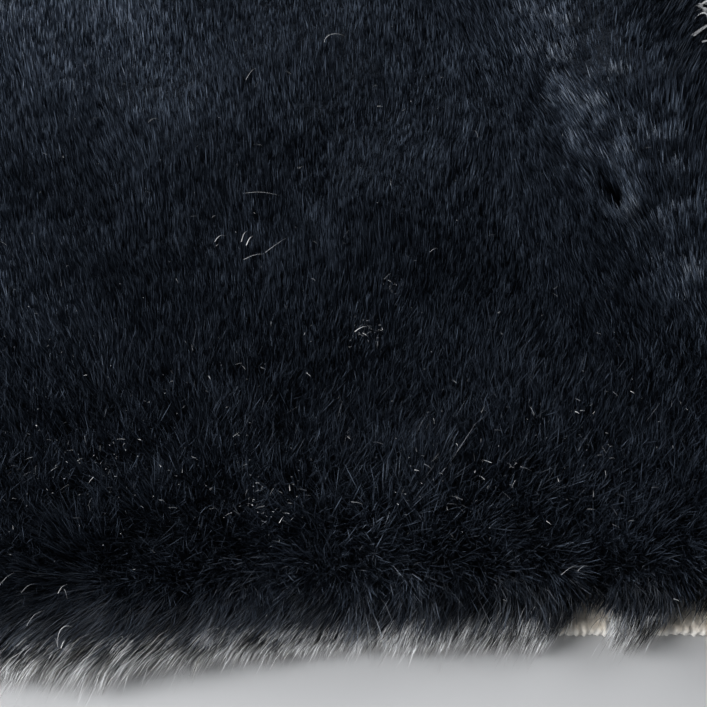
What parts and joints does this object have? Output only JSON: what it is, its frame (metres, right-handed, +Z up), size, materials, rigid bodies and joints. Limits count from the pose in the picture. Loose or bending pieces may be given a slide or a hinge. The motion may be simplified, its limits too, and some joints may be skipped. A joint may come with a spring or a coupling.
{
  "type": "faux fur rug",
  "caption": "Small rectangular rug with rounded corners: deep near-black plush pile on a cream knitted ground cloth, with pointed locks of fur hanging over its edge.",
  "frame": {"origin": "underside of the ground cloth, at the middle of the rug, on the floor", "axes": "+X along the long side, +Y from the front edge to the back edge, +Z up through the pile"},
  "size_m": [0.622, 0.4274, 0.0263],
  "materials": {
    "ground_cloth": "matte",
    "fur_pile": "matte"
  },
  "bodies": {
    "root": {"backing": "ground_cloth", "pile": "fur_pile"}
  },
  "joints": []
}
